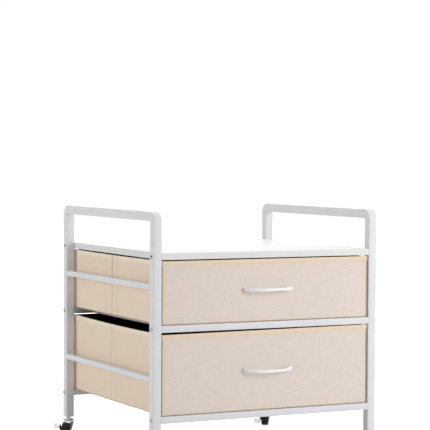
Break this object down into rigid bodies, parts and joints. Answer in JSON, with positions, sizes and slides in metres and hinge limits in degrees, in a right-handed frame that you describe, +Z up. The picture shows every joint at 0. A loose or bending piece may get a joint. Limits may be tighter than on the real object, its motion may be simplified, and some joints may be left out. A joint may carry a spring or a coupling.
{
  "type": "rolling drawer stand",
  "caption": "Rolling stand that carries a mini fridge on its board, with fabric drawers below, side handles and lockable swivel casters.",
  "frame": {"origin": "bottom centre of the bounding box, on the floor under the wheels", "axes": "+X to the right seen from the drawer fronts, +Y to the back, +Z up"},
  "size_m": [0.7492, 0.6782, 0.7],
  "materials": {
    "coated_steel": "satin white powder coat",
    "board_white": "smooth white laminate",
    "zinc_steel": "bright zinc plated",
    "caster_mount": "zinc plated with a white plug",
    "wheel_black": "matte black",
    "linen_fabric": "fine plain weave",
    "cream_tape": "smooth folded tape",
    "lined_board": "dark lining over stiff board",
    "white_plastic": "satin white"
  },
  "bodies": {
    "frame": {"top_board": "board_white", "caster_mounts": "caster_mount", "side_frame_left": "coated_steel", "side_rail_upper_left": "coated_steel", "side_rail_lower_left": "coated_steel", "runner_middle_left": "coated_steel", "runner_bottom_left": "coated_steel", "frame_bolts_left": "zinc_steel", "side_frame_right": "coated_steel", "side_rail_upper_right": "coated_steel", "side_rail_lower_right": "coated_steel", "runner_middle_right": "coated_steel", "runner_bottom_right": "coated_steel", "frame_bolts_right": "zinc_steel", "crossbar_middle_front": "coated_steel", "crossbar_bottom_front": "coated_steel", "crossbar_middle_rear": "coated_steel", "crossbar_bottom_rear": "coated_steel"},
    "caster_front_left_swivel": {"caster_front_left_fork": "zinc_steel"},
    "caster_front_left_wheel": {"caster_front_left_wheel": "wheel_black"},
    "caster_front_left_lock": {"caster_front_left_lever": "zinc_steel"},
    "caster_front_right_swivel": {"caster_front_right_fork": "zinc_steel"},
    "caster_front_right_wheel": {"caster_front_right_wheel": "wheel_black"},
    "caster_front_right_lock": {"caster_front_right_lever": "zinc_steel"},
    "caster_rear_left_swivel": {"caster_rear_left_fork": "zinc_steel"},
    "caster_rear_left_wheel": {"caster_rear_left_wheel": "wheel_black"},
    "caster_rear_left_lock": {"caster_rear_left_lever": "zinc_steel"},
    "caster_rear_right_swivel": {"caster_rear_right_fork": "zinc_steel"},
    "caster_rear_right_wheel": {"caster_rear_right_wheel": "wheel_black"},
    "caster_rear_right_lock": {"caster_rear_right_lever": "zinc_steel"},
    "upper_drawer": {"upper_drawer_box": "linen_fabric", "upper_drawer_front": "linen_fabric", "upper_drawer_base_board": "lined_board", "upper_drawer_binding": "cream_tape", "upper_drawer_pull": "white_plastic"},
    "lower_drawer": {"lower_drawer_box": "linen_fabric", "lower_drawer_front": "linen_fabric", "lower_drawer_base_board": "lined_board", "lower_drawer_binding": "cream_tape", "lower_drawer_pull": "white_plastic"}
  },
  "joints": [
    {"name": "caster_front_left_turn", "type": "hinge", "parent": "frame", "child": "caster_front_left_swivel", "pos_m": [-0.31839, -0.29394, 0.052], "axis": [0, 0, 1], "continuous": true},
    {"name": "caster_front_left_roll", "type": "hinge", "parent": "caster_front_left_swivel", "child": "caster_front_left_wheel", "pos_m": [-0.33283, -0.31311, 0.025], "axis": [0.7986, -0.6018, 0], "continuous": true},
    {"name": "caster_front_left_lever", "type": "hinge", "parent": "caster_front_left_swivel", "child": "caster_front_left_lock", "pos_m": [-0.33283, -0.31311, 0.025], "axis": [0.7986, -0.6018, 0], "range_deg": [0, 62]},
    {"name": "caster_front_right_turn", "type": "hinge", "parent": "frame", "child": "caster_front_right_swivel", "pos_m": [0.35661, -0.29394, 0.052], "axis": [0, 0, 1], "continuous": true},
    {"name": "caster_front_right_roll", "type": "hinge", "parent": "caster_front_right_swivel", "child": "caster_front_right_wheel", "pos_m": [0.34087, -0.31205, 0.025], "axis": [0.7547, -0.6561, 0], "continuous": true},
    {"name": "caster_front_right_lever", "type": "hinge", "parent": "caster_front_right_swivel", "child": "caster_front_right_lock", "pos_m": [0.34087, -0.31205, 0.025], "axis": [0.7547, -0.6561, 0], "range_deg": [0, 62]},
    {"name": "caster_rear_left_turn", "type": "hinge", "parent": "frame", "child": "caster_rear_left_swivel", "pos_m": [-0.31839, 0.32106, 0.052], "axis": [0, 0, 1], "continuous": true},
    {"name": "caster_rear_left_roll", "type": "hinge", "parent": "caster_rear_left_swivel", "child": "caster_rear_left_wheel", "pos_m": [-0.33349, 0.30241, 0.025], "axis": [0.7771, -0.6293, 0], "continuous": true},
    {"name": "caster_rear_left_lever", "type": "hinge", "parent": "caster_rear_left_swivel", "child": "caster_rear_left_lock", "pos_m": [-0.33349, 0.30241, 0.025], "axis": [0.7771, -0.6293, 0], "range_deg": [0, 62]},
    {"name": "caster_rear_right_turn", "type": "hinge", "parent": "frame", "child": "caster_rear_right_swivel", "pos_m": [0.35661, 0.32106, 0.052], "axis": [0, 0, 1], "continuous": true},
    {"name": "caster_rear_right_roll", "type": "hinge", "parent": "caster_rear_right_swivel", "child": "caster_rear_right_wheel", "pos_m": [0.34267, 0.30152, 0.025], "axis": [0.8141, -0.5807, 0], "continuous": true},
    {"name": "caster_rear_right_lever", "type": "hinge", "parent": "caster_rear_right_swivel", "child": "caster_rear_right_lock", "pos_m": [0.34267, 0.30152, 0.025], "axis": [0.8141, -0.5807, 0], "range_deg": [-62, 0]},
    {"name": "upper_drawer_slide", "type": "slide", "parent": "frame", "child": "upper_drawer", "axis": [0, -1, 0], "range_m": [0, 0.4]},
    {"name": "lower_drawer_slide", "type": "slide", "parent": "frame", "child": "lower_drawer", "axis": [0, -1, 0], "range_m": [0, 0.4]}
  ]
}
